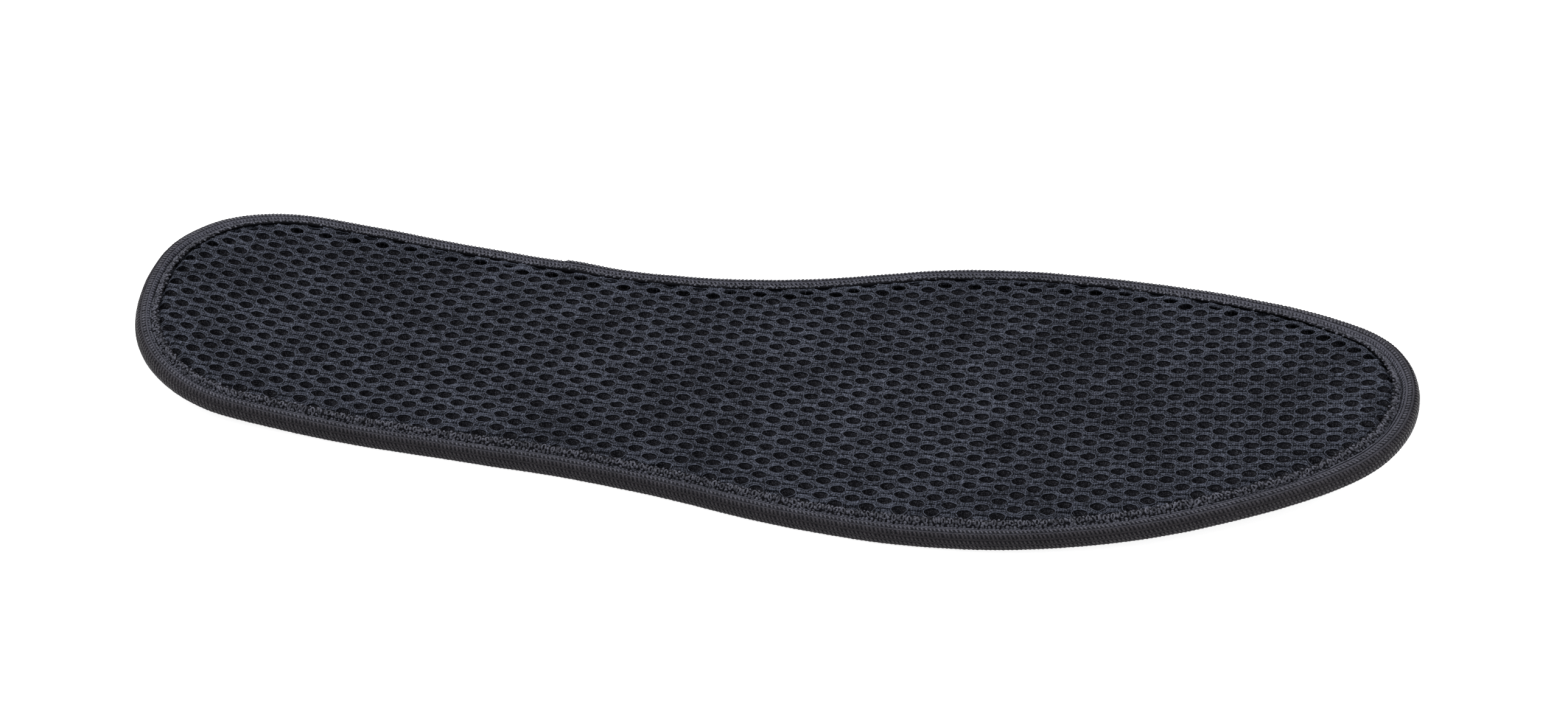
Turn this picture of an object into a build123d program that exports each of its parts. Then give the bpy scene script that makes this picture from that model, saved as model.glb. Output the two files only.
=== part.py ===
from build123d import *
from math import atan2, cos, hypot, pi, radians, sin
import os

os.makedirs("parts", exist_ok=True)

# Cushioned insole for a right foot: a knitted spacer mesh bonded to a foam
# cushion and a cloth lining, bound all round with a folded knitted tape.
# Toe towards +X, heel towards -X, medial (arch) side towards +Y, foot side up.
# The origin is the middle of the underside; the flat middle lies on Z = 0.

# ---------------------------------------------------------------- dimensions
# plan outline: tangent arcs that join at these points, anticlockwise from the
# medial side of the heel (269.1 x 88.2 mm overall)
rim_joints = [
    (-104.369, 44.332), (-124.992, 35.939), (-133.614, 19.213), (-133.135, -0.851),
    (-108.516, -23.435), (-48.624, -30.107), (-4.424, -37.938), (28.426, -43.625),
    (78.869, -40.255), (114.505, -27.572), (122.392, -22.770), (132.460, 11.148),
    (122.392, 23.809), (101.658, 34.120), (57.051, 43.868), (19.999, 40.468),
    (-38.957, 36.048), (-78.777, 42.037),
]
rim_heading = 179.845      # direction of the rim at the first joint, degrees

heel_bend_x = -74.2        # where the sheet starts to curve up to the heel
heel_bend_radius = 250.0
toe_bend_x = 12.9          # where the sheet starts to curve up to the toe
toe_bend_radius = 716.0

lining_thickness = 0.8     # bottom_lining
web_thickness = 0.1        # each hot-melt web
foam_thickness = 1.3       # cushion_foam
ground_thickness = 0.3     # ground_knit
pile_height = 1.0          # spacer_pile
face_thickness = 0.8       # face_net

tape_thickness = 0.5       # binding_tape
tape_width = 4.2           # how far the folded tape reaches in from the rim
tape_edge_radius = 1.5     # rounding of the folded edge
rim_easing = 0.5           # face and lining stop this much short of the others

seam_inset = 2.9           # seam line, measured in from the rim
thread_width = 0.4
thread_depth = 0.25        # the threads lie in a groove of the tape

# layer levels above the underside
lining_top = lining_thickness
lower_web_top = lining_top + web_thickness
foam_top = lower_web_top + foam_thickness
upper_web_top = foam_top + web_thickness
ground_top = upper_web_top + ground_thickness
pile_top = ground_top + pile_height
total_thickness = pile_top + face_thickness

reach = 8.0                # how far the blanks stand past the outline
half_width = 60.0

# ------------------------------------------------------------------- profiles
rim_arcs = []              # start point, start heading, signed radius, turn
heading = radians(rim_heading)
for here, there in zip(rim_joints, rim_joints[1:] + rim_joints[:1]):
    chord = atan2(there[1] - here[1], there[0] - here[0])
    half_turn = (chord - heading + pi) % (2 * pi) - pi
    radius = hypot(there[0] - here[0], there[1] - here[1]) / (2 * sin(half_turn))
    rim_arcs.append((here, heading, radius, 2 * half_turn))
    heading += 2 * half_turn


def plan_outline(inset):
    """Closed plan curve that runs the given distance inside the rim."""
    starts = [
        (at[0] - sin(way) * inset, at[1] + cos(way) * inset)
        for at, way, _, _ in rim_arcs
    ]
    ends = starts[1:] + starts[:1]
    for (at, way, radius, turn), start, end in zip(rim_arcs, starts, ends):
        centre = (at[0] - sin(way) * radius, at[1] + cos(way) * radius)
        middle_way = way + turn / 2
        middle = (
            centre[0] + sin(middle_way) * (radius - inset),
            centre[1] - cos(middle_way) * (radius - inset),
        )
        ThreePointArc(start, middle, end)


def side_profile(low, high):
    """Side view of the curved sheet between two levels, toe to the right."""
    heel_turn = 17.0
    toe_turn = 11.0
    heel = (heel_bend_x, heel_bend_radius)
    toe = (toe_bend_x, toe_bend_radius)
    for level in (low, high):
        CenterArc(heel, heel_bend_radius - level, 270, -heel_turn)
        Line((heel_bend_x, level), (toe_bend_x, level))
        CenterArc(toe, toe_bend_radius - level, 270, toe_turn)
    for centre, turn in ((heel, -heel_turn), (toe, toe_turn)):
        PolarLine(
            Vector(*centre) + Vector(0, -(centre[1] - low)).rotate(Axis.Z, turn),
            high - low,
            direction=Vector(0, 1).rotate(Axis.Z, turn),
        )


def curved_sheet(low, high, inset):
    """One layer of the curved sheet, cut to the plan outline."""
    with BuildPart() as sheet:
        with BuildSketch(Plane.XZ):
            with BuildLine():
                side_profile(low, high)
            make_face()
        extrude(amount=half_width, both=True)
        with BuildSketch(Plane.XY.offset(-5)):
            with BuildLine():
                plan_outline(inset)
            make_face()
        extrude(amount=50, mode=Mode.INTERSECT)
    return sheet.part


# ------------------------------------------------------------ inner laminate
with BuildPart() as cushion_foam:
    add(curved_sheet(lower_web_top, foam_top, tape_thickness))
cushion_foam.part.label = "cushion_foam"

with BuildPart() as lower_bonding_web:
    add(curved_sheet(lining_top, lower_web_top, tape_thickness))
lower_bonding_web.part.label = "lower_bonding_web"

with BuildPart() as upper_bonding_web:
    add(curved_sheet(foam_top, upper_web_top, tape_thickness))
upper_bonding_web.part.label = "upper_bonding_web"

with BuildPart() as ground_knit:
    add(curved_sheet(upper_web_top, ground_top, tape_thickness))
ground_knit.part.label = "ground_knit"

with BuildPart() as spacer_pile:
    add(curved_sheet(ground_top, pile_top, tape_thickness))
spacer_pile.part.label = "spacer_pile"

# ------------------------------------------ face and lining, full in the
# middle and pressed thin where the folded tape lies over them
with BuildPart() as face_net:
    add(curved_sheet(pile_top, total_thickness - tape_thickness,
                     tape_thickness + rim_easing))
    add(curved_sheet(total_thickness - tape_thickness, total_thickness, tape_width))
face_net.part.label = "face_net"

with BuildPart() as bottom_lining:
    add(curved_sheet(tape_thickness, lining_top, tape_thickness + rim_easing))
    add(curved_sheet(0, tape_thickness, tape_width))
bottom_lining.part.label = "bottom_lining"

# ------------------------------------------------------------ seam threads
with BuildPart() as needle_thread:
    add(curved_sheet(total_thickness - thread_depth, total_thickness,
                     seam_inset - thread_width / 2))
    add(curved_sheet(total_thickness - thread_depth - 1, total_thickness + 1,
                     seam_inset + thread_width / 2), mode=Mode.SUBTRACT)
needle_thread.part.label = "needle_thread"

with BuildPart() as bobbin_thread:
    add(curved_sheet(0, thread_depth, seam_inset - thread_width / 2))
    add(curved_sheet(-1, thread_depth + 1, seam_inset + thread_width / 2),
        mode=Mode.SUBTRACT)
bobbin_thread.part.label = "bobbin_thread"

# ------------------------------------------------- folded tape round the rim
with BuildPart() as binding_tape:
    add(curved_sheet(0, total_thickness, 0))
    # every edge of the two faces except the lines where the sheet starts to curve
    outer_edges = [
        edge for edge in binding_tape.edges()
        if abs(edge.tangent_at(0.5).Z) < 0.9
        and not (abs(edge.tangent_at(0.5).Y) > 0.999 and edge.length > 40)
    ]
    fillet(outer_edges, radius=tape_edge_radius)
    # the pocket between the two flanges holds the laminate
    add(curved_sheet(tape_thickness, total_thickness - tape_thickness,
                     tape_thickness), mode=Mode.SUBTRACT)
    # the window leaves the middle of both faces open
    add(curved_sheet(-1, total_thickness + 1, tape_width), mode=Mode.SUBTRACT)
    add(needle_thread.part, mode=Mode.SUBTRACT)
    add(bobbin_thread.part, mode=Mode.SUBTRACT)
binding_tape.part.label = "binding_tape"

# --------------------------------------------------------------------- export
export_step(face_net.part, "parts/face_net.step")
export_step(spacer_pile.part, "parts/spacer_pile.step")
export_step(ground_knit.part, "parts/ground_knit.step")
export_step(upper_bonding_web.part, "parts/upper_bonding_web.step")
export_step(cushion_foam.part, "parts/cushion_foam.step")
export_step(lower_bonding_web.part, "parts/lower_bonding_web.step")
export_step(bottom_lining.part, "parts/bottom_lining.step")
export_step(binding_tape.part, "parts/binding_tape.step")
export_step(needle_thread.part, "parts/needle_thread.step")
export_step(bobbin_thread.part, "parts/bobbin_thread.step")
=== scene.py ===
import math

import bpy
import numpy as np
from mathutils import Matrix, Vector


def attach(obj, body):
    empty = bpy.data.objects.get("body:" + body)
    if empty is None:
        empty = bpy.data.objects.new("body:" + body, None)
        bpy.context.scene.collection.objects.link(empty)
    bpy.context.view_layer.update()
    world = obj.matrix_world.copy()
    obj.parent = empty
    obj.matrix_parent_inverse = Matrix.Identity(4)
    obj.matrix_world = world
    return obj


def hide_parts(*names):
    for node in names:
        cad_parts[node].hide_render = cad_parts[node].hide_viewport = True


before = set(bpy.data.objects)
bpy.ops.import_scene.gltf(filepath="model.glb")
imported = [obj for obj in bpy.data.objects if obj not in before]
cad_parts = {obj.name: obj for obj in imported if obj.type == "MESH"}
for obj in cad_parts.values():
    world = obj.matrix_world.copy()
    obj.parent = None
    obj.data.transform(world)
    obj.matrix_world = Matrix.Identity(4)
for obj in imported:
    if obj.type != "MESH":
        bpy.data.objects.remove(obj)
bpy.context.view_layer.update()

rng = np.random.default_rng(4711)
sc = bpy.context.scene

# ------------------------------------------------------------------ the sheet
# Everything is laid out on the flat sheet, in millimetres: s along the insole,
# t across it, h above the underside. bend() then curves the sheet as the frame
# does, with a flat middle and two arcs.
HEEL_X, HEEL_R = -74.2, 250.0
TOE_X, TOE_R = 12.9, 716.0
RIM_H = 2.2


def bend(p):
    s, t, h = p[..., 0], p[..., 1], p[..., 2]
    turn = np.where(s > TOE_X, (s - TOE_X) / TOE_R, np.where(s < HEEL_X, (s - HEEL_X) / HEEL_R, 0.0))
    start = np.where(s > TOE_X, TOE_X, HEEL_X)
    radius = np.where(s > TOE_X, TOE_R, HEEL_R)
    curved = turn != 0
    x = np.where(curved, start + (radius - h) * np.sin(turn), s)
    z = np.where(curved, radius - (radius - h) * np.cos(turn), h)
    return np.stack([x, t, z], -1)


rim_joints = [
    (-104.369, 44.332), (-124.992, 35.939), (-133.614, 19.213), (-133.135, -0.851),
    (-108.516, -23.435), (-48.624, -30.107), (-4.424, -37.938), (28.426, -43.625),
    (78.869, -40.255), (114.505, -27.572), (122.392, -22.770), (132.460, 11.148),
    (122.392, 23.809), (101.658, 34.120), (57.051, 43.868), (19.999, 40.468),
    (-38.957, 36.048), (-78.777, 42.037),
]


def plan_rim():
    way, out = math.radians(179.845), []
    for a, b in zip(rim_joints, rim_joints[1:] + rim_joints[:1]):
        chord = math.atan2(b[1] - a[1], b[0] - a[0])
        half = (chord - way + math.pi) % (2 * math.pi) - math.pi
        r = math.hypot(b[0] - a[0], b[1] - a[1]) / (2 * math.sin(half))
        c = (a[0] - math.sin(way) * r, a[1] + math.cos(way) * r)
        w = way + 2 * half * np.linspace(0, 1, 200, endpoint=False)
        out.append(np.stack([c[0] + np.sin(w) * r, c[1] - np.cos(w) * r], 1))
        way += 2 * half
    return np.concatenate(out)


def smooth_loop(a, sigma):
    n = len(a)
    k = np.fft.rfftfreq(n)
    g = np.exp(-2 * (math.pi * k * sigma) ** 2)
    return np.fft.irfft(np.fft.rfft(a, axis=0) * g.reshape(-1, *[1] * (a.ndim - 1)), n, axis=0)


plan = plan_rim()
flat_s = np.where(
    plan[:, 0] > TOE_X,
    TOE_X + TOE_R * np.arcsin(np.clip((plan[:, 0] - TOE_X) / (TOE_R - RIM_H), -1, 1)),
    np.where(
        plan[:, 0] < HEEL_X,
        HEEL_X + HEEL_R * np.arcsin(np.clip((plan[:, 0] - HEEL_X) / (HEEL_R - RIM_H), -1, 1)),
        plan[:, 0],
    ),
)
loop = np.stack([flat_s, plan[:, 1]], 1)
gone = np.r_[0, np.cumsum(np.hypot(*np.diff(np.vstack([loop, loop[:1]]), axis=0).T))]
RIM = gone[-1]                       # length of the rim
NR = 2600
ru = np.linspace(0, RIM, NR, endpoint=False)
rim = np.stack([np.interp(ru, gone, np.r_[loop[:, k], loop[0, k]]) for k in (0, 1)], 1)
rim = smooth_loop(rim, 4)
along = np.roll(rim, -1, 0) - np.roll(rim, 1, 0)
along = smooth_loop(along / np.linalg.norm(along, axis=1)[:, None], 8)
along /= np.linalg.norm(along, axis=1)[:, None]
inward = np.stack([-along[:, 1], along[:, 0]], 1)


def on_rim(table, u):
    """A value of the rim at distance u along it."""
    f = (np.asarray(u, float) % RIM) / RIM * NR
    i = np.floor(f).astype(int) % NR
    w = (f - np.floor(f))[..., None]
    return table[i] * (1 - w) + table[(i + 1) % NR] * w


def depth(p):
    """How far inside the rim each flat point lies, negative outside."""
    q = p.reshape(-1, 2)
    out = np.empty(len(q))
    r, n = rim[::2], inward[::2]
    for k in range(0, len(q), 4000):
        part = q[k:k + 4000]
        d2 = ((part[:, None, :] - r[None]) ** 2).sum(2)
        i = d2.argmin(1)
        side = ((part - r[i]) * n[i]).sum(1)
        out[k:k + 4000] = np.where(side >= 0, 1, -1) * np.sqrt(d2[np.arange(len(part)), i])
    return out.reshape(p.shape[:-1])


def swell(s, t, seed, size=18.0):
    """Slow unevenness of soft cloth, about -1 to 1."""
    r = np.random.default_rng(seed)
    v = np.zeros(np.broadcast(s, t).shape)
    for _ in range(7):
        a, f, ph = r.uniform(0, math.pi), r.uniform(0.6, 1.5) / size, r.uniform(0, 6.28)
        v = v + np.sin(6.283 * f * (s * math.cos(a) + t * math.sin(a)) + ph)
    return v / 4


# the lip of the tape lies at depth LIP; the net drops under it and is crowned
# in the middle
LIP = 4.55


def wider(s):
    """How much wider the tape lies on top, round the toe and a little at the heel."""
    return 0.95 * np.clip((s - 78.0) / 46.0, 0, 1) + 0.25 * np.clip((-90.0 - s) / 30.0, 0, 1)


def moat(s):
    """Where the net meets the tape: further off at the toe and at the heel."""
    return LIP + wider(s) + 0.18 * np.clip((np.abs(s + 5.0) - 95.0) / 22.0, 0, 1)


def net_top(s, t, d):
    up = 1.48 * (1 - np.exp(-np.clip(d - moat(s) + 0.3, 0, None) / 0.52))
    return 3.70 + up + 0.06 * swell(s, t, 5) * np.clip((d - 4) / 6, 0, 1)


# ----------------------------------------------------------------- mesh making
def make(name, verts, faces, mat, smooth=True, flat=True, uv=None):
    """verts in millimetres on the flat sheet; faces a list of index arrays."""
    v = bend(verts) if flat else verts
    me = bpy.data.meshes.new(name)
    me.vertices.add(len(v))
    me.vertices.foreach_set("co", (v * 0.001).astype(np.float32).ravel())
    sizes = np.concatenate([np.full(len(f), f.shape[1]) for f in faces])
    flat_i = np.concatenate([f.ravel() for f in faces]).astype(np.int32)
    me.loops.add(len(flat_i))
    me.loops.foreach_set("vertex_index", flat_i)
    me.polygons.add(len(sizes))
    starts = np.r_[0, np.cumsum(sizes)[:-1]].astype(np.int32)
    me.polygons.foreach_set("loop_start", starts)
    me.update(calc_edges=True)
    me.validate()
    if smooth:
        me.polygons.foreach_set("use_smooth", np.ones(len(me.polygons), bool))
    if uv is not None:
        layer = me.uv_layers.new(name="yarn")
        idx = np.empty(len(me.loops), np.int32)
        me.loops.foreach_get("vertex_index", idx)
        layer.data.foreach_set("uv", uv[idx].astype(np.float32).ravel())
    me.materials.append(mat)
    o = bpy.data.objects.new(name, me)
    sc.collection.objects.link(o)
    return o


def grid_faces(rows, cols, wrap_rows=False, wrap_cols=False, offset=0):
    r = np.arange(rows if wrap_rows else rows - 1)
    c = np.arange(cols if wrap_cols else cols - 1)
    R, C = np.meshgrid(r, c, indexing="ij")
    a = R * cols + C
    b = R * cols + (C + 1) % cols
    d = ((R + 1) % rows) * cols + C
    e = ((R + 1) % rows) * cols + (C + 1) % cols
    return np.stack([a, b, e, d], -1).reshape(-1, 4) + offset


def tubes(lines, radius, sides, squash=1.0):
    """Closed tubes along many polylines of the same length: lines (n, m, 3)."""
    n, m, _ = lines.shape
    tan = np.gradient(lines, axis=1)
    tan /= np.linalg.norm(tan, axis=2)[..., None] + 1e-12
    up = np.array([0.0, 0.0, 1.0]) * np.ones_like(tan)
    steep = np.abs(tan[..., 2:3]) > 0.9
    up = np.where(steep, np.array([1.0, 0.0, 0.0]), up)
    side = np.cross(tan, up)
    side /= np.linalg.norm(side, axis=2)[..., None] + 1e-12
    up = np.cross(side, tan)
    ang = np.linspace(0, 2 * math.pi, sides, endpoint=False)
    rad = np.broadcast_to(np.asarray(radius, float), (n, m))[..., None, None]
    ring = lines[:, :, None, :] + rad * (
        np.cos(ang)[:, None] * side[:, :, None, :] + squash * np.sin(ang)[:, None] * up[:, :, None, :]
    )
    v = ring.reshape(-1, 3)
    base = grid_faces(m, sides, wrap_cols=True)[:, ::-1]
    f = (base[None] + (np.arange(n) * m * sides)[:, None, None]).reshape(-1, 4)
    cap = np.arange(sides)
    caps = np.concatenate([cap[None], cap[None, ::-1] + (m - 1) * sides])
    caps = (caps[None] + (np.arange(n) * m * sides)[:, None, None]).reshape(-1, sides)
    return v, [f, caps]


# low pads that stand for single stitches: a rounded hexagon, closed below
PAD = np.array([
    [-1, 0, 0], [-0.5, -1, 0], [0.5, -1, 0], [1, 0, 0], [0.5, 1, 0], [-0.5, 1, 0],
    [-0.45, 0, 1], [0.45, 0, 1],
], float)
PAD_F = [
    np.array([[1, 2, 7, 6], [4, 5, 6, 7]]),
    np.array([[0, 1, 6], [2, 3, 7], [3, 4, 7], [5, 0, 6]]),
    np.array([[0, 5, 4, 3, 2, 1]]),
]


KNOT = np.array([[q * math.cos(w), q * math.sin(w), z] for q, z in ((1, 0), (0.86, 0.62), (0.48, 1.0))
                 for w in np.linspace(0, 2 * math.pi, 6, endpoint=False)])
KNOT_F = [grid_faces(3, 6, wrap_cols=True), np.array([[0, 5, 4, 3, 2, 1], [12, 13, 14, 15, 16, 17]])]


def stamp(template, template_faces, at, e1, e2, e3, size):
    """Copies of a template at many places: frames e1, e2, e3 (n, 3), size (n, 3)."""
    n, m = len(at), len(template)
    v = (
        at[:, None, :]
        + template[None, :, 0:1] * (e1 * size[:, 0:1])[:, None, :]
        + template[None, :, 1:2] * (e2 * size[:, 1:2])[:, None, :]
        + template[None, :, 2:3] * (e3 * size[:, 2:3])[:, None, :]
    )
    step = (np.arange(n) * m)[:, None, None]
    return v.reshape(-1, 3), [(f[None] + step).reshape(-1, f.shape[1]) for f in template_faces]


def merged(parts):
    vs, fs, k = [], {}, 0
    for v, faces in parts:
        for f in faces:
            fs.setdefault(f.shape[1], []).append(f + k)
        vs.append(v)
        k += len(v)
    return np.concatenate(vs), [np.concatenate(f) for f in fs.values()]


# ------------------------------------------------------------------- materials
def tree(name):
    m = bpy.data.materials.new(name)
    m.use_nodes = True
    nt = m.node_tree
    b = nt.nodes["Principled BSDF"]
    return m, nt, b


def node(nt, kind, **values):
    n = nt.nodes.new(kind)
    for k, v in values.items():
        if k in ("operation", "blend_type", "data_type", "uv_map", "noise_dimensions", "wave_type",
                 "bands_direction", "feature", "use_clamp", "interpolation_type"):
            setattr(n, k, v)
        else:
            n.inputs[k.replace("_", " ")].default_value = v
    return n


def math_node(nt, op, a, b=None):
    n = nt.nodes.new("ShaderNodeMath")
    n.operation = op
    for i, x in enumerate((a, b)):
        if x is None:
            continue
        if isinstance(x, (int, float)):
            n.inputs[i].default_value = x
        else:
            nt.links.new(x, n.inputs[i])
    return n.outputs[0]


def ramp(nt, source, stops):
    n = nt.nodes.new("ShaderNodeValToRGB")
    e = n.color_ramp.elements
    while len(e) < len(stops):
        e.new(0.5)
    for el, (pos, col) in zip(e, stops):
        el.position = pos
        el.color = (*col, 1)
    nt.links.new(source, n.inputs[0])
    return n.outputs[0]


def fibre(name, dark, light, rough=0.85, fine=3200.0, bump=0.00006, sheen=0.12, slow=0.12,
          stretch=(1, 1, 1), ply=None, groove_shade=0.0, twist=0.40, dash=0.0, glint=None, side_shade=None, lift=0.0,
          strand=None, spec=0.35, patch=(1500, 4600, 4600)):
    """Spun or textured yarn: fine fibres, slow shade changes and an optional ply
    twist along the 'yarn' map, given as (lines per mm along u, slant over v)."""
    m, nt, b = tree(name)
    L = nt.links.new
    tc = nt.nodes.new("ShaderNodeTexCoord")
    mp = nt.nodes.new("ShaderNodeMapping")
    mp.inputs["Scale"].default_value = stretch
    L(tc.outputs["Object"], mp.inputs["Vector"])
    n1 = node(nt, "ShaderNodeTexNoise", Scale=fine, Detail=3.0, Roughness=0.6)
    L(mp.outputs[0], n1.inputs["Vector"])
    n2 = node(nt, "ShaderNodeTexNoise", Scale=fine * 0.22, Detail=2.0)
    L(mp.outputs[0], n2.inputs["Vector"])
    n3 = node(nt, "ShaderNodeTexNoise", Scale=70.0, Detail=2.0)
    L(tc.outputs["Object"], n3.inputs["Vector"])
    mix = math_node(nt, "MULTIPLY", n1.outputs["Fac"], 0.55)
    mix = math_node(nt, "ADD", mix, math_node(nt, "MULTIPLY", n2.outputs["Fac"], 0.45))
    height = n1.outputs["Fac"]
    if ply:
        uv = node(nt, "ShaderNodeUVMap", uv_map="yarn")
        sp = nt.nodes.new("ShaderNodeSeparateXYZ")
        L(uv.outputs[0], sp.inputs[0])
        fold = math_node(nt, "PINGPONG", sp.outputs[1], 0.5)
        ph = math_node(nt, "ADD", math_node(nt, "MULTIPLY", sp.outputs[0], ply[0] * 6.283),
                       math_node(nt, "MULTIPLY", fold, ply[1] * 6.283))
        ph = math_node(nt, "ADD", ph, math_node(nt, "MULTIPLY", n2.outputs["Fac"], 5.0))
        wave = math_node(nt, "ADD", math_node(nt, "MULTIPLY", math_node(nt, "SINE", ph), 0.5), 0.5)
        mix = math_node(nt, "ADD", math_node(nt, "MULTIPLY", mix, 0.55), math_node(nt, "MULTIPLY", wave, twist))
        # painted shade: darker down the grooves between strands, where the 'yarn' map's v is a half
        if groove_shade:
            mix = math_node(nt, "SUBTRACT", mix, math_node(nt, "MULTIPLY", fold, groove_shade))
        height = math_node(nt, "ADD", math_node(nt, "MULTIPLY", wave, 1.75 * twist), math_node(nt, "MULTIPLY", height, 0.5))
    mix = math_node(nt, "ADD", mix, math_node(nt, "MULTIPLY", math_node(nt, "SUBTRACT", n3.outputs["Fac"], 0.5), slow * 2))
    if dash:
        # short light and dark lengths of yarn, drawn out along the strands
        md = nt.nodes.new("ShaderNodeMapping")
        md.inputs["Scale"].default_value = strand or patch
        L(uv.outputs[0] if strand else tc.outputs["Object"], md.inputs["Vector"])
        n4 = node(nt, "ShaderNodeTexNoise", Scale=1.0, Detail=1.0)
        L(md.outputs[0], n4.inputs["Vector"])
        mix = math_node(nt, "ADD", mix, math_node(nt, "MULTIPLY", math_node(nt, "SUBTRACT", n4.outputs["Fac"], 0.5), dash))
    if lift:
        mix = math_node(nt, "ADD", mix, lift)
    col = ramp(nt, mix, [(0.28, dark), (0.72, light)])
    if glint:
        n5 = node(nt, "ShaderNodeTexNoise", Scale=4200.0, Detail=0.0)
        L(tc.outputs["Object"], n5.inputs["Vector"])
        spot = ramp(nt, n5.outputs["Fac"], [(0.60, (0, 0, 0)), (0.66, (1, 1, 1))])
        mx = nt.nodes.new("ShaderNodeMix")
        mx.data_type = "RGBA"
        L(spot, mx.inputs["Factor"])
        L(col, mx.inputs[6])
        mx.inputs[7].default_value = (*glint, 1)
        col = mx.outputs[2]
    if side_shade:
        # darker low on the side as painted shade, and a little brown there, where the 'yarn' map's y is high
        uv = node(nt, "ShaderNodeUVMap", uv_map="yarn")
        sp = nt.nodes.new("ShaderNodeSeparateXYZ")
        L(uv.outputs[0], sp.inputs[0])
        side_shade_ramp = ramp(nt, sp.outputs[1], [(side_shade[0], (1, 1, 1)), (side_shade[1], side_shade[2])])
        mx = nt.nodes.new("ShaderNodeMix")
        mx.data_type = "RGBA"
        mx.blend_type = "MULTIPLY"
        mx.inputs["Factor"].default_value = 1.0
        L(col, mx.inputs[6])
        L(side_shade_ramp, mx.inputs[7])
        col = mx.outputs[2]
    L(col, b.inputs["Base Color"])
    rr = math_node(nt, "ADD", math_node(nt, "MULTIPLY", n2.outputs["Fac"], 0.2), rough - 0.1)
    L(rr, b.inputs["Roughness"])
    b.inputs["Sheen Weight"].default_value = sheen
    b.inputs["Sheen Roughness"].default_value = 0.4
    b.inputs["Specular IOR Level"].default_value = spec
    bp = nt.nodes.new("ShaderNodeBump")
    bp.inputs["Distance"].default_value = bump
    bp.inputs["Strength"].default_value = 1.0
    L(height, bp.inputs["Height"])
    L(bp.outputs[0], b.inputs["Normal"])
    return m


# painted shade low on the tape's side: from 0.29 to 0.43 of the way round the section the colour is multiplied down to
# this brownish tint
SIDE_SHADE = (0.29, 0.43, (0.40, 0.35, 0.32))
# the face net's yarn, with painted shade in the grooves between its strands
face_mat = fibre("face_yarn_knit", (0.005, 0.006, 0.010), (0.150, 0.165, 0.220), ply=(2.0, 1.2), bump=0.00007,
                 fine=2400, groove_shade=0.80, twist=0.15, dash=1.0, sheen=0.02, lift=0.13, strand=(1.3, 1.4, 1.0), spec=0.18)
rim_mat = fibre("hole_edge_yarn", (0.018, 0.021, 0.030), (0.118, 0.130, 0.172), fine=4200, bump=0.00005, dash=1.2,
                sheen=0.02, spec=0.2)
tie_mat = fibre("tie_yarn", (0.014, 0.016, 0.023), (0.080, 0.088, 0.116), dash=0.7, sheen=0.02, spec=0.15)
pile_mat = fibre("pile_monofilament", (0.004, 0.004, 0.007), (0.020, 0.021, 0.029), rough=0.50, sheen=0.0, bump=0.00002,
                 glint=(0.090, 0.094, 0.112), spec=0.25)
ground_mat = fibre("ground_knit_dark", (0.0020, 0.0020, 0.0036), (0.013, 0.013, 0.019), fine=2600, bump=0.00012,
                   sheen=0.0, spec=0.13, glint=(0.060, 0.062, 0.074))
# the tape's web, seen in the gaps between the stitches: its own dark yarn, darkened further to near black as painted
# shade for those gaps
tape_gap_shade = fibre("tape_between_stitches", (0.003, 0.003, 0.004), (0.013, 0.013, 0.018), fine=2600, sheen=0.0, spec=0.14)
tape_mat = fibre("tape_smooth_ribs", (0.026, 0.026, 0.036), (0.078, 0.079, 0.103), fine=3600, rough=0.66,
                 sheen=0.02, bump=0.00005, dash=0.8, side_shade=SIDE_SHADE, spec=0.2)
bead_mat = fibre("tape_stitches", (0.028, 0.029, 0.040), (0.142, 0.144, 0.182), fine=3600, rough=0.42, bump=0.00004,
                 sheen=0.02, side_shade=SIDE_SHADE, spec=0.2)
picot_mat = fibre("tape_edge_loops", (0.016, 0.017, 0.024), (0.108, 0.110, 0.140), fine=3000, rough=0.75, dash=1.3,
                  patch=(1500, 1500, 1500),
                  sheen=0.02)
thread_mat = fibre("sewing_thread_ply", (0.034, 0.037, 0.050), (0.100, 0.106, 0.136), rough=0.5, ply=(1.6, 1.0), bump=0.00004,
                   twist=0.12, sheen=0.02, lift=0.12)
lining_mat = fibre("lining_knit", (0.020, 0.022, 0.027), (0.062, 0.066, 0.078), fine=2200, ply=(1.0, 1.0), bump=0.00012)
foam_mat = fibre("open_cell_foam", (0.030, 0.030, 0.032), (0.070, 0.070, 0.074), fine=1500, bump=0.0002)
web_mat = fibre("hot_melt_web", (0.30, 0.29, 0.26), (0.60, 0.58, 0.53), fine=900, rough=0.45, sheen=0.0)

# --------------------------------------------------------------- the face net
# Rows of oval holes; a hole sits on every second crossing of the lattice.
HP, ROW = 3.2583, 2.1844             # half the hole pitch, and the row step
GRAIN = math.radians(-1.8)
SX, SY = -2.038, 0.355
HL, HW = 1.74, 1.20                  # half length and half width of a hole


def lattice(a, b):
    return np.stack([
        math.cos(GRAIN) * a - math.sin(GRAIN) * b + SX,
        math.sin(GRAIN) * a + math.cos(GRAIN) * b + SY,
    ], -1)


A0, A1, J0, J1 = -46, 46, -24, 24    # half pitches along, rows across
shape = (J1 - J0 + 2, 2 * (A1 - A0) + 8)
hole_size = rng.normal(1.0, 0.040, shape)
hole_move = rng.normal(0.0, 0.045, shape)
hole_tilt = rng.normal(0.0, 0.030, shape)
LENS = 0.58                          # how pointed the ends of a hole are


def hole_edge(a, row, side):
    """Offset of a hole's edge from its row line at a, and the hole's presence there."""
    k = a / HP
    q = (k - row + 1) % 2 - 1
    centre = np.rint(k - q).astype(int)
    at = (row - J0, (centre - A0) % shape[1])
    x = np.clip(np.abs(q * HP) / HL, 0, 1)
    inside = np.clip(1 - x ** 2, 0, 1)
    w = HW * hole_size[at] * inside ** LENS
    return side * w + inside ** 0.5 * (hole_move[at] + hole_tilt[at] * q * HP), inside


PER = 13                             # stations in half a pitch
stations = np.arange(A0 * PER, A1 * PER + 1)
a = stations / PER * HP
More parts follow.
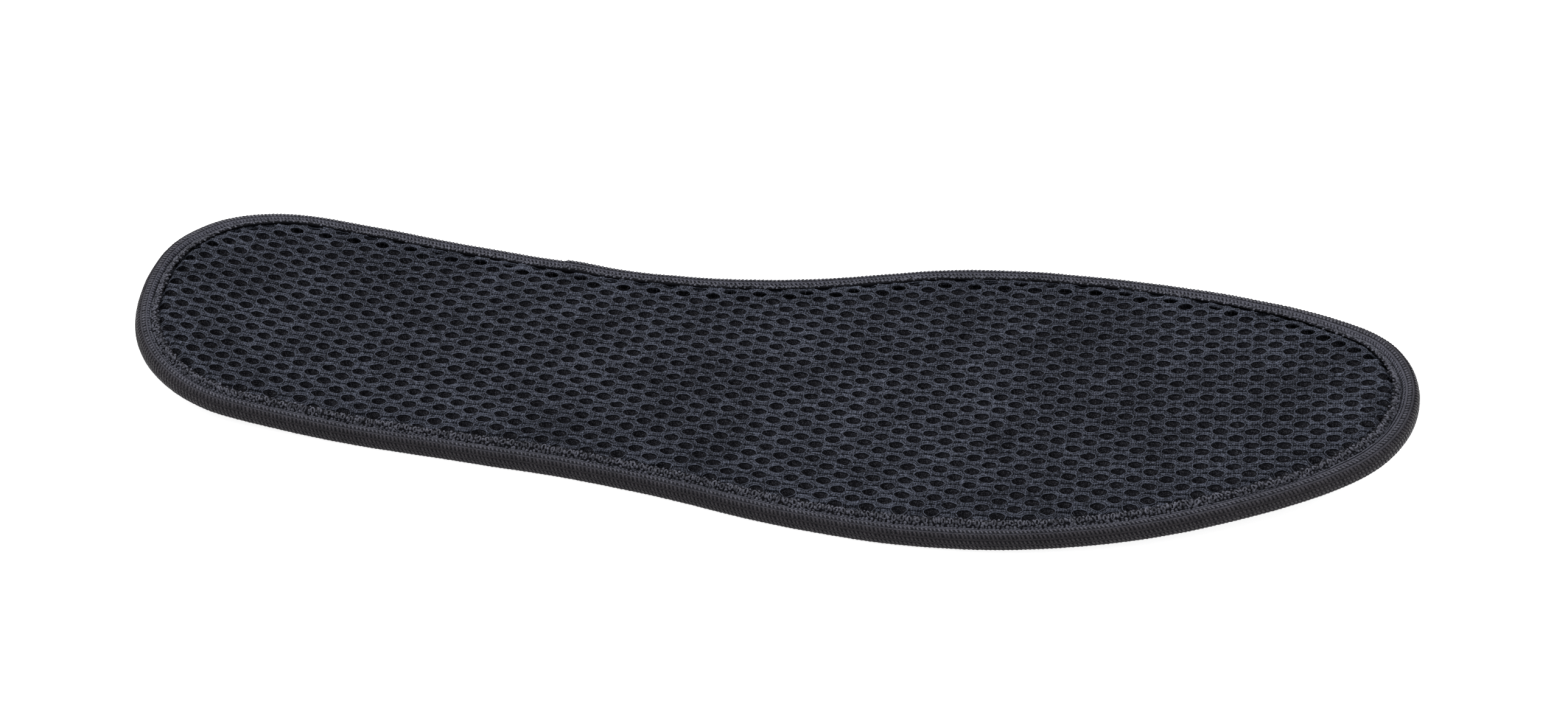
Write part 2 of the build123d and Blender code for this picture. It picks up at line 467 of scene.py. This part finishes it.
# four strands side by side, with gaps between them
#                 v      h
section = np.array([
    [0.02, -0.62], [0.115, -0.04], [0.245, -0.30], [0.37, -0.07], [0.50, -0.28], [0.63, -0.07], [0.755, -0.30],
    [0.885, -0.04], [0.98, -0.62],
])
K = len(section)
GROOVE = np.array([-0.5, 0.0, 0.5, 0.88, 1.5, 2.12, 2.5, 3.0, 3.5])      # whole numbers on a strand, halves between two
PARTS = ("heel", "arch", "waist", "ball", "toe")
net_parts = {part: [] for part in PARTS}
net_uv = {part: [] for part in PARTS}
cuts = np.searchsorted(a, [-82.0, -28.0, 26.0, 80.0])
spans = list(zip(PARTS, [0, *cuts], [*(cuts + 1), len(a)]))
for J in range(J0, J1):
    o0, p0 = hole_edge(a, J, 1)
    o1, p1 = hole_edge(a, J + 1, -1)
    b0 = J * ROW + o0 + 0.03 + 0.195 * (1 - p0) ** 2
    b1 = (J + 1) * ROW + o1 - 0.03 - 0.195 * (1 - p1) ** 2
    b = b0[:, None] + (b1 - b0)[:, None] * section[None, :, 0]
    beat = (stations[:, None] + np.arange(K)[None, :] // 2 + J) % 2 * 2.0 - 1
    b = b + rng.normal(0, 0.018, b.shape) + 0.034 * beat
    aa = a[:, None] + rng.normal(0, 0.025, b.shape)
    p = lattice(aa, b)
    mid = lattice(a, (b0 + b1) / 2)
    d = depth(mid)
    keep = d > 2.2
    if keep.sum() < 3:
        continue
    top = net_top(mid[:, 0], mid[:, 1], d)
    h = top[:, None] + section[None, :, 1]
    crest = np.isin(np.arange(K), (1, 3, 5, 7))[None, :]
    h = h + crest * (beat * 0.034 + rng.normal(0, 0.018, h.shape))
    # the middle strands wander up and down between their neighbours
    h[:, 3] += 0.05 * np.sin(a / HP * math.pi + J * 2.1)
    h[:, 5] -= 0.05 * np.sin(a / HP * math.pi + J * 2.1)
    V = np.concatenate([p, h[..., None]], -1)
    u = np.repeat(a[:, None], K, 1)
    vv = GROOVE[None] + 4.0 * J + 0 * u
    # runs of stations inside the rim
    edge = np.flatnonzero(np.diff(np.r_[0, keep.astype(int), 0]))
    for i0, i1 in edge.reshape(-1, 2):
        for part, from_, to in spans:
            lo, hi = max(i0, from_), min(i1, to)
            if hi - lo < 3:
                continue
            m = hi - lo
            net_parts[part].append((V[lo:hi].reshape(-1, 3), [grid_faces(m, K)]))
            net_uv[part].append(np.stack([u[lo:hi].ravel(), vv[lo:hi].ravel()], 1))

for part in net_parts:
    v, f = merged(net_parts[part])
    o = make("face_net_bands_" + part, v, f, face_mat, uv=np.concatenate(net_uv[part]))
    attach(o, "root")
    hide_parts("face_net")

# all the holes that show
hj, hi_ = np.meshgrid(np.arange(J0 + 1, J1), np.arange(A0, A1 + 1), indexing="ij")
ok = (hi_ - hj) % 2 == 0
hj, hi_ = hj[ok], hi_[ok]
centre = lattice(hi_ * HP, hj * ROW)
hd = depth(centre)
show = hd > 3.5
hj, hi_, centre, hd = hj[show], hi_[show], centre[show], hd[show]
which = (hj - J0, (hi_ - A0) % shape[1])
hs, hm, ht = hole_size[which], hole_move[which], hole_tilt[which]
NH = len(hj)

# the lighter yarn that bounds each hole
m, sides = 18, 4
ang = np.linspace(0, 2 * math.pi, m, endpoint=False) + 0.17
ca, sa = np.cos(ang), np.sin(ang)
ex = ca[None] * (HL - 0.04) + rng.normal(0, 0.02, (NH, m))
ey = (np.sign(sa) * np.abs(sa) ** (2 * LENS))[None] * (HW - 0.03) * hs[:, None]
ey = ey + np.abs(sa)[None] * (hm[:, None] + ht[:, None] * ex)
ring = lattice(hi_[:, None] * HP + ex, hj[:, None] * ROW + ey)
ring = ring + rng.normal(0, 0.036, ring.shape)
rd = depth(ring)
rh = net_top(ring[..., 0], ring[..., 1], rd) - 0.13 + rng.normal(0, 0.05, rd.shape)
ring = np.concatenate([ring, rh[..., None]], -1)
tan = np.roll(ring, -1, 1) - np.roll(ring, 1, 1)
tan /= np.linalg.norm(tan, axis=2)[..., None]
upv = np.array([0, 0, 1.0])
sidev = np.cross(tan, upv)
sidev /= np.linalg.norm(sidev, axis=2)[..., None]
phi = np.linspace(0, 2 * math.pi, sides, endpoint=False)
rr = 0.082 * (1 + 0.20 * rng.normal(0, 1, (NH, m, 1, 1)))
rv = ring[:, :, None, :] + rr * (np.cos(phi)[:, None] * sidev[:, :, None, :] + np.sin(phi)[:, None] * upv)
rf = grid_faces(m, sides, wrap_rows=True, wrap_cols=True)[:, ::-1]
rf = (rf[None] + (np.arange(NH) * m * sides)[:, None, None]).reshape(-1, 4)
o = make("face_net_hole_yarns", rv.reshape(-1, 3), [rf], rim_mat)
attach(o, "root"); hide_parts("face_net")

# short ties that cross the seam between two holes of a row
tj, ti = np.meshgrid(np.arange(J0 + 1, J1), np.arange(A0, A1 + 1), indexing="ij")
ok = (ti - tj) % 2 == 1
tj, ti = tj[ok], ti[ok]
td = depth(lattice(ti * HP, tj * ROW))
tj, ti = tj[td > 3.3], ti[td > 3.3]
spots = np.array([-1.20, -0.72, -0.24, 0.24, 0.72, 1.20])
ta = (ti[:, None] * HP + spots[None] + rng.normal(0, 0.045, (len(ti), len(spots)))).ravel()
tb = np.repeat(tj * ROW, len(spots)) + rng.normal(0, 0.03, len(ta))
at = lattice(ta, tb)
dd = depth(at)
n = len(ta)
slant = np.where(np.arange(n) % 2 == 0, 1.0, -1.0) * 0.30 + rng.normal(0, 0.15, n)
e1 = np.stack([np.sin(slant + GRAIN), np.cos(slant + GRAIN), np.zeros(n)], 1)
e2 = np.stack([np.cos(slant), -np.sin(slant), np.zeros(n)], 1)
e3 = np.tile([0, 0, 1.0], (n, 1))
at = np.concatenate([at, (net_top(at[:, 0], at[:, 1], dd) - 0.60)[:, None]], 1)
size = np.stack([rng.normal(0.33, 0.03, n), rng.normal(0.120, 0.016, n), rng.normal(0.30, 0.05, n)], 1)
v, f = stamp(PAD, PAD_F, at, e1, e2, e3, size)
o = make("face_net_seam_ties", v, f, tie_mat)
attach(o, "root"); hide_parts("face_net")

# ------------------------------------------------- pile seen through the holes
per = 12
ang = (np.arange(per)[None] / per * 2 * math.pi + rng.normal(0, 0.16, (NH, per)))
topx, topy = np.cos(ang) * (HL - 0.06), np.sin(ang) * (HW + 0.02)
pull = rng.uniform(0.15, 1.05, (NH, per))
botx = topx * pull + rng.normal(0, 0.28, (NH, per))
boty = topy * pull + rng.normal(0, 0.22, (NH, per))
A = hi_[:, None] * HP
B = hj[:, None] * ROW
tops = lattice(A + topx, B + topy)
bots = lattice(A + botx, B + boty)
midp = 0.5 * (tops + bots) + rng.normal(0, 0.16, tops.shape)
th = net_top(tops[..., 0], tops[..., 1], depth(tops)) - 0.50
lines = np.stack([
    np.concatenate([tops, th[..., None]], -1),
    np.concatenate([midp, (0.52 * th + 0.48 * 2.6)[..., None]], -1),
    np.concatenate([bots, np.full(th.shape + (1,), 2.58)], -1),
], 2).reshape(-1, 3, 3)
v, f = tubes(lines, 0.052, 3)
o = make("spacer_pile_filaments", v, f, pile_mat)
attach(o, "root"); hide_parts("spacer_pile")


# ------------------------------------------------------------ the inner sheets
def slab(name, inset, low, high, mat, step=1.6, uv=False):
    """A closed sheet inside the rim; low and high are functions of s, t, d."""
    edge = rim + inward * inset
    lo_s, hi_s = edge[:, 0].min() + 0.15, edge[:, 0].max() - 0.15
    n = int((hi_s - lo_s) / step)
    w = np.linspace(-1, 1, n)
    w = 0.75 * w + 0.25 * np.sin(w * math.pi / 2)
    ss = (lo_s + hi_s) / 2 + w * (hi_s - lo_s) / 2
    bounds = []
    nxt = np.roll(edge, -1, 0)
    for x in ss:
        hit = (edge[:, 0] - x) * (nxt[:, 0] - x) <= 0
        e0, e1 = edge[hit], nxt[hit]
        den = e1[:, 0] - e0[:, 0]
        f = np.where(np.abs(den) < 1e-9, 0, (x - e0[:, 0]) / np.where(np.abs(den) < 1e-9, 1, den))
        y = e0[:, 1] + f * (e1[:, 1] - e0[:, 1])
        bounds.append((y.min(), y.max()))
    bounds = np.array(bounds)
    cols = int(np.ptp(bounds) / step)
    q = np.linspace(0, 1, cols)
    tt = bounds[:, :1] + (bounds[:, 1:] - bounds[:, :1]) * q[None]
    S = np.repeat(ss[:, None], cols, 1)
    d = depth(np.stack([S, tt], -1))
    up = np.stack([S, tt, high(S, tt, d)], -1)
    dn = np.stack([S, tt, low(S, tt, d)], -1)
    v = np.concatenate([up.reshape(-1, 3), dn.reshape(-1, 3)])
    N = n * cols
    top = grid_faces(n, cols)
    bot = grid_faces(n, cols)[:, ::-1] + N
    border = np.r_[np.arange(cols), np.arange(2 * cols - 1, N, cols), np.arange(N - 2, N - cols - 1, -1),
                   np.arange(N - 2 * cols, 0, -cols)]
    nb = np.roll(border, -1)
    wall = np.stack([border, border + N, nb + N, nb], 1)
    o = make(name, v, [top[:, ::-1], bot[:, ::-1], wall[:, ::-1]], mat,
             uv=np.concatenate([v[:, :2], ]) if uv else None)
    return o


o = slab("ground_knit_sheet", 0.8, lambda s, t, d: 2.32 + 0 * s, lambda s, t, d: 2.60 + 0.03 * swell(s, t, 8, 3.0), ground_mat)
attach(o, "root"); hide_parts("ground_knit")

foam = slab("cushion_foam_pad", 0.8, lambda s, t, d: 0.92 + 0 * s,
            lambda s, t, d: 1.72 + 0.46 * (1 - np.exp(-np.clip(d - 1, 0, None) / 3)) + 0.01 * swell(s, t, 3), foam_mat)
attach(foam, "root"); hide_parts("cushion_foam")

lining = slab("bottom_lining_cloth", 0.9,
              lambda s, t, d: np.where(d < LIP, 0.58, 0.58 - 0.50 * (1 - np.exp(-(np.clip(d, LIP, None) - LIP) / 1.4)))
              + 0.02 * swell(s, t, 12, 9.0) + 0.02,
              lambda s, t, d: 0.80 + 0 * s, lining_mat, step=1.0, uv=True)
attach(lining, "root"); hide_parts("bottom_lining")

# ------------------------------------------------------------ the folded tape
# section from the inner lip on top, over the rim, to the inner lip below, as
# (depth inside the rim, height)
outer = np.array([
    (4.74, 4.10), (4.76, 4.50), (4.62, 4.80), (4.30, 4.86), (3.90, 4.72), (3.50, 4.42), (3.20, 4.08), (2.98, 3.86),
    (2.78, 3.82), (2.58, 3.98), (2.28, 4.26), (1.85, 4.40), (1.35, 4.40), (0.92, 4.28), (0.55, 4.04), (0.27, 3.68),
    (0.10, 3.24), (0.02, 2.72), (0.00, 2.20), (0.05, 1.68), (0.18, 1.20), (0.42, 0.76), (0.78, 0.45),
    (1.25, 0.29), (1.80, 0.24), (2.35, 0.27), (2.70, 0.38), (2.95, 0.46), (3.20, 0.38), (3.60, 0.28),
    (4.10, 0.27), (4.42, 0.34), (4.55, 0.48), (4.50, 0.62),
])
inner = np.array([(3.9, 0.66), (2.6, 0.72), (1.35, 0.78), (0.72, 1.20), (0.58, 2.2), (0.72, 3.1), (1.35, 3.50),
                  (2.6, 3.42), (3.4, 3.62), (4.2, 4.06)])


def catmull(p, k=3):
    q = np.vstack([2 * p[0] - p[1], p, 2 * p[-1] - p[-2]])
    out = []
    for i in range(1, len(q) - 2):
        x = np.linspace(0, 1, k, endpoint=False)[:, None]
        out.append(0.5 * (2 * q[i] + (q[i + 1] - q[i - 1]) * x
                          + (2 * q[i - 1] - 5 * q[i] + 4 * q[i + 1] - q[i + 2]) * x ** 2
                          + (3 * q[i] - q[i - 1] - 3 * q[i + 1] + q[i + 2]) * x ** 3))
    return np.vstack(out + [p[-1:]])


fine = catmull(outer, 6)
fv = np.r_[0, np.cumsum(np.hypot(*np.diff(fine, axis=0).T))]
FOLD = fv[-1]                        # width of the tape round the section
tan2 = np.gradient(fine, axis=0)
tan2 /= np.linalg.norm(tan2, axis=1)[:, None]
nrm2 = np.stack([-tan2[:, 1], tan2[:, 0]], 1)
# outward normal of the section: away from the middle of the fold
if (nrm2[len(fine) // 2] * (fine[len(fine) // 2] - np.array([2.0, 2.2]))).sum() < 0:
    nrm2 = -nrm2


def waves(u, seed, amount):
    r = np.random.default_rng(seed)
    v = np.zeros(np.shape(u))
    for k in (9, 14, 23, 31, 47, 70):
        v = v + r.normal(0, 1) * np.sin(2 * math.pi * k * np.asarray(u) / RIM + r.uniform(0, 6.28))
    return v * amount / 2.4


# where the two ends of the tape lap, at the arch
lap_u = ru[np.argmin(np.hypot(rim[:, 0] + 45.0, rim[:, 1] - 36.7))]


def lap(u):
    x = (np.asarray(u) - lap_u + RIM / 2) % RIM - RIM / 2
    return 0.34 * np.clip((x + 10) / 9, 0, 1) ** 1.5 * np.clip((3.2 - x) / 0.7, 0, 1)


def tape_frame(u, v, lift=0.0):
    """Point and frame (along, over, out) of the tape's outer face."""
    u, v = np.broadcast_arrays(np.asarray(u, float), np.asarray(v, float))
    d = np.interp(v, fv, fine[:, 0])
    h = np.interp(v, fv, fine[:, 1])
    td, thh = np.interp(v, fv, tan2[:, 0]), np.interp(v, fv, tan2[:, 1])
    nd, nh = np.interp(v, fv, nrm2[:, 0]), np.interp(v, fv, nrm2[:, 1])
    # the seam runs further in round the toe and a little at the heel
    x_here = on_rim(rim, u)[..., 0]
    d = d + wider(x_here) * np.clip((d - 0.4) / 2.3, 0, 1)
    # the lips wander a little, the rim hardly
    lip = np.clip((d - 1.0) / 3.5, 0, 1)
    d = d + lip * waves(u, 21, 0.22) + waves(u, 22, 0.05)
    h = h + 0.04 * waves(u, 23, 1.0) * np.clip(h / 4, 0, 1)
    top = np.clip((h - 1.5) / 1.5, 0, 1)
    out = lap(u) * top + lift
    d, h = d + nd * out, h + nh * out
    p, n, t = on_rim(rim, u), on_rim(inward, u), on_rim(along, u)
    at = np.concatenate([p + n * d[..., None], h[..., None]], -1)
    e_u = np.concatenate([t, np.zeros(t.shape[:-1] + (1,))], -1)
    e_v = np.concatenate([n * td[..., None], thh[..., None]], -1)
    e_n = np.concatenate([n * nd[..., None], nh[..., None]], -1)
    return at, e_u, e_v, e_n


NU = 1100
uu = np.linspace(0, RIM, NU, endpoint=False)
vs = np.linspace(0.95, FOLD - 0.25, 42)
top_part, _, _, _ = tape_frame(uu[:, None], vs[None, :])
p, n2 = on_rim(rim, uu), on_rim(inward, uu)
ins = catmull(inner, 2)
ins_p = np.concatenate([p[:, None, :] + n2[:, None, :] * ins[None, :, 0:1],
                        np.repeat(ins[None, :, 1:2], NU, 0)], -1)
body = np.concatenate([top_part, ins_p], 1)
f = grid_faces(NU, body.shape[1], wrap_rows=True, wrap_cols=True)
# the web's near-black colour is painted shade for the gaps between the stitches
o = make("binding_tape_web", body.reshape(-1, 3), [f[:, ::-1]], tape_gap_shade)
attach(o, "root"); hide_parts("binding_tape")

SEAM_TOP = fv[np.argmin(np.abs(fine[:, 0] - 2.80) + 10 * (fine[:, 1] < 2))]
SEAM_LOW = fv[np.argmin(np.abs(fine[:, 0] - 2.95) + 10 * (fine[:, 1] > 2))]
PITCH = RIM / round(RIM / 0.86)
count = round(RIM / PITCH)
k = np.arange(count)
first = SEAM_TOP + 0.50
rows = int((SEAM_LOW - 0.50 - first) / 1.00) + 1
ROWS = (SEAM_LOW - 0.50 - first) / (rows - 1)

# rows of slanted stitches with smooth flat ribs between them
parts, ribs, bead_uv, rib_uv = [], [], [], []
NR2 = 2 * count
ur = np.linspace(0, RIM, NR2, endpoint=False)
for r in range(rows):
    v0 = first + r * ROWS
    ph = (r * 0.43) % 1.0
    u = (k + ph) * PITCH + rng.normal(0, 0.035, count)
    vj = v0 + rng.normal(0, 0.025, count)
    at, eu, ev, en = tape_frame(u, vj)
    tilt = 0.75 + rng.normal(0, 0.07, count)
    a1 = ev + eu * tilt[:, None]
    a1 /= np.linalg.norm(a1, axis=1)[:, None]
    a2 = np.cross(en, a1)
    # smaller and flatter gaps round the toe and the heel
    calm = np.clip((np.abs(on_rim(rim, u)[..., 0] + 5.0) - 88.0) / 26.0, 0, 1)
    proud = np.interp(r, [0, rows * 0.3, rows * 0.5, rows], [0.24, 0.18, 0.11, 0.08]) * (1 - 0.40 * calm)
    size = np.stack([rng.normal(0.58, 0.03, count), rng.normal(0.285, 0.014, count) + 0.050 * calm, rng.normal(proud, 0.012)], 1)
    parts.append(stamp(PAD, PAD_F, at - en * 0.01, a1, a2, en, size))
    bead_uv.append(np.stack([np.repeat(u, len(PAD)), np.repeat(vj / FOLD, len(PAD))], 1))
    if r < rows - 1:
        # a smooth rib between two rows
        off = np.array([-0.24, -0.14, 0.0, 0.14, 0.24])
        up = np.array([-0.06, 0.040, 0.055, 0.040, -0.06])
        vv = v0 + ROWS / 2 + off[None, :] * (1 + 0.06 * np.sin(2 * math.pi * ur / PITCH))[:, None]
        at, eu, ev, en = tape_frame(ur[:, None], vv)
        lift = up[None, :] * (1 + 0.16 * np.sin(2 * math.pi * ur / PITCH + r)[:, None]) + rng.normal(0, 0.008, vv.shape)
        ribs.append(((at + en * lift[..., None]).reshape(-1, 3), [grid_faces(NR2, 5, wrap_rows=True)[:, ::-1]]))
        rib_uv.append(np.stack([np.repeat(ur, 5), (vv / FOLD).ravel()], 1))
v, f = merged(parts)
o = make("binding_tape_stitches", v, f, bead_mat, uv=np.concatenate(bead_uv))
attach(o, "root"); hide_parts("binding_tape")
v, f = merged(ribs)
o = make("binding_tape_ribs", v, f, tape_mat, uv=np.concatenate(rib_uv))
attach(o, "root"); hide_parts("binding_tape")

# looped edges of the tape, inside both seams: a lumpy ring to every two stitches with
# knots between, and a row of smaller knots by the seam; less even round the toe and heel
m = 15
phi = np.radians(np.linspace(90, 450, m))
odd, even = k[1::2], k[0::2]
for mid_v, half_v, tall, seed in ((SEAM_TOP - 1.28, 0.52, 0.22, 1), (SEAM_LOW + 1.05, 0.40, 0.06, 2)):
    side = 1 if seed == 1 else -1
    # finer and flatter underneath, where the insole lies on them
    fine_ = 1.0 if seed == 1 else 0.52
    loops = []
    many = (len(even), 1)
    u = (even + 0.15) * PITCH + rng.normal(0, 0.10, len(even))
    wild = np.clip((np.abs(on_rim(rim, u)[..., 0] + 5.0) - 92.0) / 22.0, 0, 1)[:, None]
    lean = rng.normal(0.15, 1.0, many) * (0.22 + 0.25 * wild)
    wide = rng.normal(0.37, 0.045, many)
    high = half_v * rng.normal(1, 0.13, many) * (1 - 0.15 * wild)
    dv = np.sin(phi)[None] * high
    at, eu, ev, en = tape_frame(u[:, None] + np.cos(phi)[None] * wide + lean * dv,
                                mid_v + side * (dv + 0.10 * wild) + rng.normal(0, 0.10, many))
    rise = tall * (0.55 + 0.45 * np.abs(np.cos(phi)))[None] + rng.normal(0, 0.035, (len(even), m)) * fine_
    lump = 0.40 * np.cos(4.0 * phi[None] + rng.normal(0, 0.5, many)) + rng.normal(0, 0.09, (len(even), m))
    rad = 0.205 * fine_ * rng.normal(1, 0.08, many) * (1 + lump)
    loops.append(tubes(at + en * rise[..., None], rad, 6, squash=0.85))
    for who, off_v, big in ((odd, 0.06, 1.35), (odd, -0.58, 1.05), (k, 0.82, 1.28)):
        pu = (who + 0.15) * PITCH + rng.normal(0, 0.12, len(who))
        at, eu, ev, en = tape_frame(pu, mid_v + side * half_v / 0.52 * off_v + rng.normal(0, 0.11, len(who)))
        big = big * rng.normal(1, 0.14, len(who))
        size = np.stack([big * 0.33, big * 0.27, big * tall * 0.85], 1)
        a1 = ev + eu * rng.normal(0.40, 0.50, len(who))[:, None]
        a1 /= np.linalg.norm(a1, axis=1)[:, None]
        loops.append(stamp(KNOT, KNOT_F, at + en * 0.05 * (seed == 1), a1, np.cross(en, a1), en, size))
    v, f = merged(loops)
    o = make("binding_tape_edge_loops" if seed == 1 else "binding_tape_lower_loops", v, f, picot_mat)
    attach(o, "root"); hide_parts("binding_tape")


# ------------------------------------------------------------ the lockstitch
def stitches(name, v0, node_name, seed, lift):
    r = np.random.default_rng(seed)
    n = round(RIM / 4.3)
    step = RIM / n
    start = np.arange(n) * step + r.normal(0, 0.12, n)
    m = 12
    x = np.linspace(0, 1, m)
    u = start[:, None] + 0.12 + x[None] * (step - 0.24)
    off = waves(u, seed + 3, 0.26) + 0.05 * np.sin(x * 6.28)[None] * r.choice([-1, 1], (n, 1))
    dive = np.clip(1 - (1 - np.abs(2 * x - 1)) / 0.16, 0, 1) ** 2
    at, eu, ev, en = tape_frame(u, v0 + off)
    at = at + en * (lift - 0.42 * dive)[None, :, None]
    v, f = tubes(at, 0.125, 8)
    uv = np.stack([np.repeat(u.ravel(), 8), np.tile(np.arange(8) / 4.0, n * m)], 1)
    o = make(name, v, f, thread_mat, uv=uv)
    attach(o, "root"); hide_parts(node_name)


stitches("needle_thread_stitches", SEAM_TOP, "needle_thread", 31, 0.07)
stitches("bobbin_thread_stitches", SEAM_LOW, "bobbin_thread", 47, 0.05)

# --------------------------------------------- pieces carried over from the CAD
for name, mat in (("upper_bonding_web", web_mat), ("lower_bonding_web", web_mat)):
    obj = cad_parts[name]
    obj = obj if hasattr(obj, "data") else bpy.data.objects[name]
    if not obj.material_slots:
        obj.data.materials.append(mat)
    for slot_ in obj.material_slots:
        slot_.material = mat

# --------------------------------------------------------------- floor, light
me = bpy.data.meshes.new("floor")
me.from_pydata([(-6, -6, 0), (6, -6, 0), (6, 6, 0), (-6, 6, 0)], [], [(0, 1, 2, 3)])
floor = bpy.data.objects.new("floor", me)
sc.collection.objects.link(floor)
m_, nt, b_ = tree("pale_floor")
nz = node(nt, "ShaderNodeTexNoise", Scale=3.0)
nt.links.new(ramp(nt, nz.outputs["Fac"], [(0.3, (0.90, 0.90, 0.90)), (0.7, (0.91, 0.91, 0.91))]), b_.inputs["Base Color"])
b_.inputs["Roughness"].default_value = 0.9
b_.inputs["Emission Color"].default_value = (1.0, 1.0, 1.0, 1)
b_.inputs["Emission Strength"].default_value = 0.82
# from below the floor lets the camera through, so the underside can be looked at
clear = nt.nodes.new("ShaderNodeBsdfTransparent")
geo = nt.nodes.new("ShaderNodeNewGeometry")
both = nt.nodes.new("ShaderNodeMixShader")
out_ = next(n for n in nt.nodes if n.bl_idname == "ShaderNodeOutputMaterial")
nt.links.new(geo.outputs["Backfacing"], both.inputs[0])
nt.links.new(b_.outputs[0], both.inputs[1])
nt.links.new(clear.outputs[0], both.inputs[2])
nt.links.new(both.outputs[0], out_.inputs["Surface"])
me.materials.append(m_)
floor.visible_diffuse = False

w = bpy.data.worlds.new("studio")
sc.world = w
w.use_nodes = True
bg = w.node_tree.nodes["Background"]
# a soft box overhead: bright above, dimmer towards and under the horizon
wt = w.node_tree
wc = wt.nodes.new("ShaderNodeTexCoord")
ws = wt.nodes.new("ShaderNodeSeparateXYZ")
wt.links.new(wc.outputs["Generated"], ws.inputs[0])
wm = wt.nodes.new("ShaderNodeMapRange")
wm.inputs["From Min"].default_value = -0.3
wm.inputs["From Max"].default_value = 0.9
wm.inputs["To Min"].default_value = 0.26
wm.inputs["To Max"].default_value = 1.0
wt.links.new(ws.outputs[2], wm.inputs["Value"])
wt.links.new(wm.outputs[0], bg.inputs["Color"])
bg.inputs["Strength"].default_value = 0.80


def area(name, at, look, size, power):
    l = bpy.data.lights.new(name, "AREA")
    l.shape = "DISK"
    l.size = size
    l.energy = power
    o = bpy.data.objects.new(name, l)
    o.location = at
    o.rotation_euler = (Vector(look) - Vector(at)).to_track_quat("-Z", "Y").to_euler()
    sc.collection.objects.link(o)


area("key", (-0.35, 0.55, 1.0), (0, 0, 0), 0.6, 9.0)
area("fill", (0.5, -0.5, 1.1), (0, 0, 0), 1.0, 3.0)

# ------------------------------------------------------------------ the camera
right = Vector((0.9917189543, 0.1282938795, -0.0058477456))
down = Vector((0.0749000186, -0.6147688715, -0.7851428034))
ahead = Vector((-0.1043240282, 0.7782030038, -0.6192871564))
cam_data = bpy.data.cameras.new("camera")
cam_data.sensor_width = 36.0
cam_data.lens = 36.0 * 5500.0 / 2576.0
cam_data.clip_start = 0.01
cam = bpy.data.objects.new("camera", cam_data)
rot = Matrix((right, -down, -ahead)).transposed()
cam.matrix_world = Matrix.Translation((0.076707, -0.537448, 0.439565)) @ rot.to_4x4()
sc.collection.objects.link(cam)
sc.camera = cam
sc.view_settings.view_transform = "Standard"
